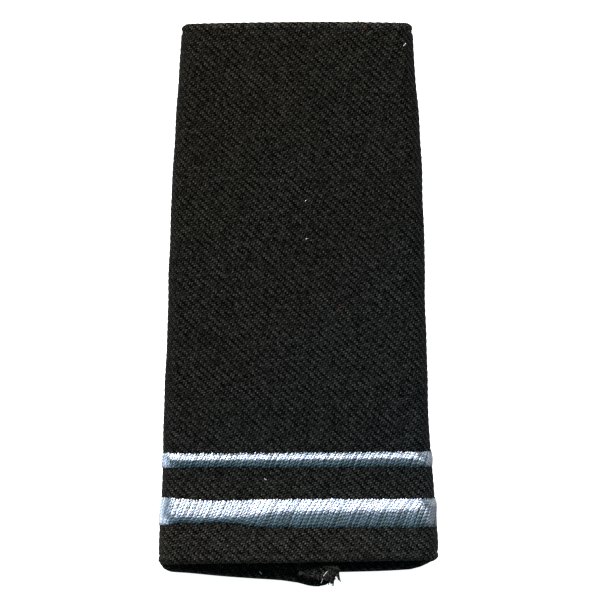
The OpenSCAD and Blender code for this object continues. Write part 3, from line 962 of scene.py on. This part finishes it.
# %% The material of a twisted thread
PLIES, TWIST_MM = 2, 1.5
PLY_DEPTH, PLY_EDGE = 0.03 * MM, 6.0
FILAMENTS = 0.85
FUZZ_PER_MM, FUZZ_BUMP = 3.0, 0.3
GLOSS_PER_MM, GLOSS_RANGE = 2.2, (0.3, 0.7, 0.75, 1.25)
LIGHT_GAIN, LEAST_SHADE, LEAST_SHINE = 1.5, 0.15, 0.9


def thread_material(name, dull, bright, roughness, shine, tint="#ffffff", ior=1.5, share=None):
    """Twisted plies, bumped and painted dark in their grooves. A share paints each strand's light
    by place.
    """
    made, tree = blank_material(name)
    place = add(tree, "SeparateXYZ", (add(tree, "UVMap", uv_map="thread"),))
    number = add(tree, "Attribute", attribute_name="strand").outputs["Fac"]
    where = add(tree, "TexCoord").outputs["Object"]
    turns = add(tree, "Math", (place.outputs[1], 1 / TWIST_MM), operation="MULTIPLY")
    turns = add(tree, "Math", (place.outputs[0], turns), operation="ADD")
    turns = add(tree, "Math", (turns, number), operation="ADD")
    angle = add(tree, "Math", (turns, math.pi * PLIES), operation="MULTIPLY")
    ply = add(tree, "Math", (add(tree, "Math", (angle,), operation="SINE"),), operation="ABSOLUTE")
    body = add(tree, "Math", (ply, PLY_EDGE), operation="POWER")
    if share:
        place_x = add(tree, "SeparateXYZ", (where,))
        light = share(tree, place_x, place.outputs[1])
        number = add(tree, "Math", (number, light), operation="MULTIPLY")
    level = add(tree, "Math", (number, LIGHT_GAIN), operation="MULTIPLY")

    # The colour is painted shade and light: dark in the grooves between the plies, brighter with
    # each strand's light.
    shade = add(tree, "Math", (level, LEAST_SHADE), operation="ADD")
    shade = add(tree, "Math", (body, shade), operation="MULTIPLY")
    shade = add(tree, "Math", (shade, 1.0), operation="MINIMUM")
    colour = add(tree, "Mix", {"Factor": shade, COLOUR_A: linear(dull),
                               COLOUR_B: linear(bright)}, data_type="RGBA")
    noise = add(tree, "TexNoise", {"Vector": where, "Scale": GLOSS_PER_MM / MM, "Detail": 1.0})
    gloss = add(tree, "MapRange", (noise, *GLOSS_RANGE))
    # The shine follows each strand's painted light, with a slow change of gloss.
    painted_shine_and_gloss = add(tree, "Math", (level, gloss), operation="MULTIPLY")
    glint = add(tree, "Math", (body, LEAST_SHINE), operation="ADD")
    for factor in (painted_shine_and_gloss, shine):
        glint = add(tree, "Math", (glint, factor), operation="MULTIPLY")
    fuzz = add(tree, "TexNoise", {"Vector": where, "Scale": FUZZ_PER_MM / MM, "Detail": 2.0})
    height = add(tree, "Math", (fuzz, FUZZ_BUMP), operation="MULTIPLY")
    height = add(tree, "Math", (ply, height), operation="ADD")
    bump = add(tree, "Bump", {"Height": height, "Distance": PLY_DEPTH})
    round_it = add(tree, "Tangent", direction_type="UV_MAP", uv_map="thread")
    finish_material(tree, add(tree, "BsdfPrincipled", {
        "Base Color": colour.outputs[COLOUR_OUT], "Roughness": roughness, "IOR": ior,
        "Specular IOR Level": glint, "Specular Tint": linear(tint), "Anisotropic": FILAMENTS,
        "Tangent": round_it, "Normal": bump}))
    return made


# %% The bands' rayon
# Where each change of a strand's painted light starts and ends, and its share at both places: a
# strand is painted darker and duller on the right fold, which faces less of the tube, and at its
# sunk start, where the cloth shades it, and painted brighter on the left fold, which faces most of
# the tube.
RIGHT_FOLD = (23.0 * MM, 27.2 * MM, 1.0, 0.12)
LEFT_FOLD = (-26.5 * MM, -23.5 * MM, 1.8, 1.0)
SUNK_START = (0.6, 1.5, 0.35, 1.0)


def band_light(tree, x, along_strand):
    """Painted light of a band's strand, in colour and shine, by its place across the sleeve and
    along itself.
    """
    light = add(tree, "MapRange", (x, *RIGHT_FOLD))
    for place, change in ((x, LEFT_FOLD), (along_strand, SUNK_START)):
        part = add(tree, "MapRange", (place, *change))
        light = add(tree, "Math", (light, part), operation="MULTIPLY")
    return light


# Viscose spun into endless smooth filaments and twisted in two plies: glossy, and whitest where a
# slope faces the lamp. Its IOR is about 1.5. Here 2.2 makes it as bright as it is in the scan.
rayon = thread_material("twisted rayon thread", "#020405", "#576b66", 0.38, 1.1, tint="#d3ddf5",
                        ior=2.2, share=band_light)
# The paddings carry no strand attribute, so the rayon paints them nearly black and without shine:
# painted shade where they show between the strands.
for piece in (*narrow, *wide):
    piece.data.materials.clear()
    piece.data.materials.append(rayon)
print("rayon:", len(rayon.node_tree.nodes), "nodes")

# %% [markdown]
# The two flaps of the back are sewn together with their spare cloth inside, and that seam
# allowance is pressed open into one strip. Its end was never trimmed: it rises out of the wide
# mouth as a frayed tail, the only part of the inside that the lamp reaches. The strip follows the
# same few sections as the frame's solid, and its last row is pulled into teeth where the weave has
# frayed.

# %% Sizes of the seam allowance and its tail, in millimetres
TAIL_L, TAIL_RISE = 3.6, 5.4
# Right and left end across, in half widths, each with its way out of the mouth in tail lengths;
# then the heights of both ends. The left one stays low, in the shadow of the front.
TAIL = np.array([
    (1.00, -2.40, -1.00, -2.40, 0.02, 0.02), (1.00, -1.60, -1.00, -1.60, 0.18, 0.15),
    (1.00, -0.80, -0.98, -0.80, 0.48, 0.34), (0.99, -0.10, -0.96, -0.10, 0.78, 0.46),
    (1.00, 0.36, -0.95, 0.33, 0.96, 0.50), (1.08, 1.00, -0.92, 0.68, 1.00, 0.48)])
# Place across from the right, and how far the frayed end reaches there, in millimetres.
FRAY = np.array([(0.0, -0.1), (0.05, 0.0), (0.08, -0.8), (0.12, -0.9), (0.15, 0.8), (0.20, 1.0),
                 (0.26, 0.6), (0.35, 0.4), (0.6, 0.1), (0.75, 0.3), (0.9, 0.0), (1.0, 0.1)])
ALLOW_T = 0.9
STRAIGHT_ROWS, TAIL_ROWS, EASINGS = 48, 36, 5

half_allow, floor_z = ALLOW_W / 2, CLOTH_T + LAYER_GAP
straight_y = np.linspace(end_y - ALLOW_SET, 3 * TAIL_L - end_y, STRAIGHT_ROWS, endpoint=False)
in_tail = np.linspace(0, len(TAIL) - 1, TAIL_ROWS)
tail = np.stack([np.interp(in_tail, range(len(TAIL)), column) for column in TAIL.T], axis=1)


def long_edge(side, across, out, height):
    """One long edge of the allowance: straight inside the sleeve, then along the tail."""
    flat = 0 * straight_y
    edge = np.concatenate([
        np.stack([flat + SEAM_X + side * half_allow, straight_y, flat + floor_z], axis=1),
        np.stack([SEAM_X + half_allow * across, -end_y - TAIL_L * out,
                  floor_z + TAIL_RISE * height], axis=1)])
    for _ in range(EASINGS):
        edge[1:-1] = (edge[:-2] + 2 * edge[1:-1] + edge[2:]) / 4
    return edge


edge_right = long_edge(1, tail[:, 0], tail[:, 1], tail[:, 4])
edge_left = long_edge(-1, tail[:, 2], tail[:, 3], tail[:, 5])
along_edge = np.append(0, np.cumsum(np.linalg.norm(np.diff(edge_right, axis=0), axis=1)))
print("allowance:", round(along_edge[-1], 1), "mm long")


# %% The seam allowance's mesh
EDGE_SINK, EDGE_ROUND = 0.35, 8
DITCH_D, DITCH_W = 0.3, 0.4
PUCKER_H, PUCKER_L = 0.08, 2.1
FRAY_L = 1.6
ALLOW_COLUMNS, EVENLY = 41, 0.6


def on_allowance(across, s, over=0.0):
    """A point on the allowance's top: across from the right edge, 0 to 1, and s mm along it."""
    right = np.stack([np.interp(s, along_edge, edge_right[:, n]) for n in range(3)], axis=-1)
    left = np.stack([np.interp(s, along_edge, edge_left[:, n]) for n in range(3)], axis=-1)
    point = mix(right, left, np.asarray(across)[..., None])
    point[..., 2] += ALLOW_T + over
    return point


# The columns are closest at both edges, and the seam itself is a ditch down the middle.
across = 0.5 - 0.5 * np.cos(np.linspace(0, np.pi, ALLOW_COLUMNS))
across = mix(across, np.linspace(0, 1, ALLOW_COLUMNS), EVENLY)
grid_across, grid_s = np.meshgrid(across, along_edge)
from_middle = np.abs(2 * grid_across - 1)
sink_edge = EDGE_SINK * from_middle ** EDGE_ROUND
ditch = DITCH_D * np.exp(-((grid_across - 0.5) * ALLOW_W / DITCH_W) ** 2)
pucker = PUCKER_H * np.sin(2 * np.pi * grid_s / PUCKER_L) * from_middle ** 2
top = on_allowance(grid_across, grid_s, pucker - sink_edge - ditch)
bottom = on_allowance(grid_across, grid_s, sink_edge - ALLOW_T)
near_end = smooth((grid_s - along_edge[-1] + FRAY_L) / FRAY_L)
for skin_points in (top, bottom):
    skin_points[..., 1] -= near_end * np.interp(grid_across, FRAY[:, 0], FRAY[:, 1])
allowance = closed_strip("seam_allowance_strip", top, bottom)
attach(allowance, "root")
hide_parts("seam_allowance")
print("seam allowance:", len(allowance.data.polygons), "faces")

# %% [markdown]
# An overlock machine has bound both edges of the allowance: its loops run over the edge and back
# to a line inside it. They are laid with the same helper as the bands, and so are the broken
# threads of the frayed end, the rows of stitches that hold the hems and those that close the back.

# %% Overlock loops
OVERLOCK_PITCH, FIRST_LOOP, LAST_LOOP = 1.9, 0.6, 2.4
# One loop: inwards from the edge, along it, and above the allowance's top, in millimetres.
LOOP = np.array([(0.05, 0.0, -0.75), (-0.22, 0.05, -0.35), (0.0, 0.15, 0.04), (0.8, 0.4, 0.1),
                 (1.9, 0.7, 0.1), (2.5, 0.95, 0.02), (1.9, 1.2, 0.1), (0.8, 1.5, 0.1),
                 (0.0, 1.75, 0.04), (-0.22, 1.85, -0.35), (0.05, 1.9, -0.75)])
LOOP_SPREAD = 0.1

starts = np.arange(FIRST_LOOP, along_edge[-1] - LAST_LOOP, OVERLOCK_PITCH)
loops = []
inward = LOOP[:, 0] / ALLOW_W
for from_right in (inward, 1 - inward):
    s = starts[:, None] + LOOP[:, 1] + chances.normal(0, LOOP_SPREAD, (len(starts), 1))
    loops.append(on_allowance(np.broadcast_to(from_right, s.shape), s, LOOP[:, 2]))
overlock = lay_threads("overlock_loops", np.concatenate(loops), 0.13, 0.11, sides=5)

# %% Frayed threads
FRAYED_N, FRAYED_ROOT, FRAYED_SINK = 30, 0.8, 0.35
# Length of a tip and how far it hangs, from least to most; its drift sideways, mean and spread.
TIP_L, TIP_DROP, TIP_DRIFT = (0.15, 0.55), (0, 0.7), (0.15, 0.2)

ends = chances.uniform(0.0, 1.0, FRAYED_N)
tip = chances.uniform(*TIP_L, FRAYED_N)
t = np.linspace(0, 1, 6)
size = (FRAYED_N, len(t))
fray_s = along_edge[-1] - FRAYED_ROOT + t * FRAYED_ROOT
paths = on_allowance(np.broadcast_to(ends[:, None], size), np.broadcast_to(fray_s, size),
                     -FRAYED_SINK)
paths[..., 1] -= (tip[:, None] * t) + np.interp(ends, FRAY[:, 0], FRAY[:, 1])[:, None] * t
paths[..., 0] += chances.normal(*TIP_DRIFT, (FRAYED_N, 1)) * t ** 2
paths[..., 2] -= chances.uniform(*TIP_DROP, (FRAYED_N, 1)) * t ** 2
frayed = lay_threads("frayed_threads", paths, 0.1, 0.08, sides=5)

# %% [markdown]
# The hems' stitches lie at the bottom of the grooves. Each one comes up at one end, lies flat and
# goes down again. The back seam is held by small slanted stitches, sunk between the two flaps.

# %% Hem stitches
HALF_STITCH, HEM_ENDS = 1.15, 3
# How deep each place of a stitch lies under the groove's bottom, in millimetres.
STITCH_SINK = np.array([0.75, 0.2, 0.02, -0.02, 0.02, 0.2, 0.75])


def sleeve_place(u, y):
    """The step round the sleeve at u mm from the middle of the front."""
    row = int(np.argmin(np.abs(row_y[:n_outer, middle] - y)))
    return np.interp(u, cloth_u[row, ::-1], columns[::-1])


stitches = []
reach = girth.min() / 2 - HEM_ENDS
for y in (ROLL_W + GROOVE_W / 2 - end_y, end_y - ROLL_W - GROOVE_W / 2):
    centres = (np.arange(int(-reach / HEM_STITCH), int(reach / HEM_STITCH)) + 0.5) * HEM_STITCH
    u = centres[:, None] + np.linspace(-HALF_STITCH, HALF_STITCH, len(STITCH_SINK))
    k = sleeve_place(u, y)
    inset = np.broadcast_to(GROOVE_D + STITCH_SINK, k.shape)
    stitches.append(skin(np.full_like(k, y), inset, k))
    print(len(centres), "stitches at", round(y, 2))
hem_stitches = lay_threads("hem_stitches", np.concatenate(stitches), 0.15, 0.11)

# %% Back seam stitches
SEAM_PITCH, SEAM_ENDS = 2.4, 4
# Half of a stitch across the seam and along it, and the heights of its five places.
SEAM_REACH, SEAM_LEAN = 0.7, 0.25
SEAM_ARCH = np.array([0.9, 0.55, 0.5, 0.55, 0.9])

seam_y = np.arange(SEAM_ENDS - end_y, end_y - SEAM_ENDS, SEAM_PITCH)[:, None]
seam_y = seam_y + np.linspace(-SEAM_LEAN, SEAM_LEAN, len(SEAM_ARCH))
seam_x = np.linspace(-SEAM_REACH, SEAM_REACH, len(SEAM_ARCH))
seam_x = SEAM_X + np.broadcast_to(seam_x, seam_y.shape)
paths = np.stack([seam_x, seam_y, np.broadcast_to(SEAM_ARCH, seam_y.shape)], axis=-1)
seam_stitches = lay_threads("back_seam_stitches", paths, 0.12, 0.1, up=(0, 0, -1), sides=5)

# %% [markdown]
# Dark cloth picks up lint. The scan shows a few white specks, a tuft of pale fibres caught in the
# collar edge, a grey speck in the mouth, and white slivers of broken thread on the tail. Each one
# is made of short bent fibres here.

# %% Lint
def fibre(start, stop, bow, side=(0.0, 0.0, 0.0)):
    """A bent fibre between two points, its middle raised by bow."""
    t = np.linspace(0, 1, 7)[:, None]
    bend = np.sin(np.pi * t) * (np.array(side) + np.array((0, 0, bow)))
    return mix(np.array(start), np.array(stop), t) + bend


# Middle of each speck, with half its length across and along.
SPECKS = ((21.2, 49.4, 8.55, 0.25, 0.25), (1.6, 10.6, 8.0, 0.15, 0.1), (1.4, 18.2, 8.1, 0.1, 0.15),
          (-6.6, -37.4, 8.5, 0.2, -0.1), (-7.6, -56.2, 2.15, 0.2, -0.25))
TUFT_X, TUFT_Y, TUFT_Z = 11.8, 53.5, 7.0
TUFT_ENDS = ((-1.0, 1.0, 0.3), (-0.6, 1.7, 0.6), (-0.1, 1.9, 0.4), (0.5, 1.5, 0.8), (0.9, 1.0, 0.2),
             (-0.8, 0.3, 0.5), (0.8, 0.2, 0.6), (0.2, 1.2, 1.0), (-0.3, 0.8, 0.9))
white_lint = [fibre((x - dx, y - dy, z), (x + dx, y + dy, z), 0.12) for x, y, z, dx, dy in SPECKS]
slivers = [fibre((5.75, -55.8, 7.55), (4.95, -56.75, 7.5), 0.08),
           fibre((4.85, -57.3, 7.3), (4.5, -58.2, 6.8), 0.08)]
tuft = [fibre((TUFT_X, TUFT_Y, TUFT_Z), (TUFT_X + 0.9 * x, TUFT_Y + 0.4 + 0.9 * y, TUFT_Z + z),
              0.1, (0.15, 0, 0)) for x, y, z in TUFT_ENDS]
grey_speck = [fibre((0.0, -56.3, 5.3), (0.8, -56.1, 5.4), 0.2, (0, bend, 0))
              for bend in (-0.35, -0.1, 0.15, 0.35)]
red_fibres = [fibre(start, stop, 0.1, (0.2, 0.3, 0)) for start, stop in (
    ((-1.9, 53.2, 8.3), (-0.9, 53.9, 8.3)), ((12.8, 52.0, 8.5), (13.7, 52.9, 8.5)),
    ((7.5, -3.9, 8.0), (8.6, -2.9, 8.0)))]
green_fibre = [fibre((13.8, 51.3, 8.5), (14.8, 52.1, 8.5), 0.1, (-0.2, 0.2, 0))]
lint = {"white_lint": (white_lint, 0.07), "thread_slivers": (slivers, 0.06),
        "pale_tuft": (tuft, 0.05), "grey_dust": (grey_speck, 0.07),
        "red_fibres": (red_fibres, 0.04), "green_fibre": (green_fibre, 0.04)}
lint = {name: lay_threads(name, np.array(paths), r, r, sides=5)
        for name, (paths, r) in lint.items()}

# %% [markdown]
# The sewing threads are dull beside the rayon, because short or crimped fibres scatter the light.
# Lint is looser still. All of them use the recipe of the twisted thread, with other colours, a
# rougher surface and little shine.

# %% The sewing threads' and lint's materials
# Short polyester fibres spun and dyed black: matt, with a faint blue sheen.
polyester = thread_material("spun polyester thread", "#020303", "#101214", 0.7, 0.1)
# Nylon filaments crimped by heat, so that they cover the edge: soft, dull and brownish black.
overlock_thread = thread_material("textured nylon thread", "#080706", "#2b2723", 0.75, 0.1)
# Bleached cotton: the natural fibre with its colour taken out, white and chalky.
bleached = thread_material("bleached cotton fibre", "#8c918c", "#e6e8e2", 0.8, 0.2)
# Wool as it is shorn, never dyed: a dull straw colour.
pale_wool = thread_material("undyed wool fibre", "#5d5a45", "#aaa78c", 0.8, 0.2)
# Dust of many fibres, matted together: soft grey, with hardly any shine.
grey_dust = thread_material("grey house dust", "#171918", "#3a3c3b", 0.9, 0.1)
# Dyed wool from other clothes, rubbed off as single fibres.
red_wool = thread_material("red wool fibre", "#3a1714", "#7d352c", 0.8, 0.2)
green_wool = thread_material("green wool fibre", "#1c3020", "#48694a", 0.8, 0.2)
for piece, material in ((hem_stitches, polyester), (seam_stitches, polyester),
                        (overlock, overlock_thread), (frayed, overlock_thread),
                        (lint["white_lint"], bleached), (lint["thread_slivers"], bleached),
                        (lint["pale_tuft"], pale_wool), (lint["grey_dust"], grey_dust),
                        (lint["red_fibres"], red_wool), (lint["green_fibre"], green_wool)):
    piece.data.materials.clear()
    piece.data.materials.append(material)
allowance.data.materials.clear()
allowance.data.materials.append(twill)
print(len(lint), "kinds of lint,", len(bpy.data.materials), "materials")
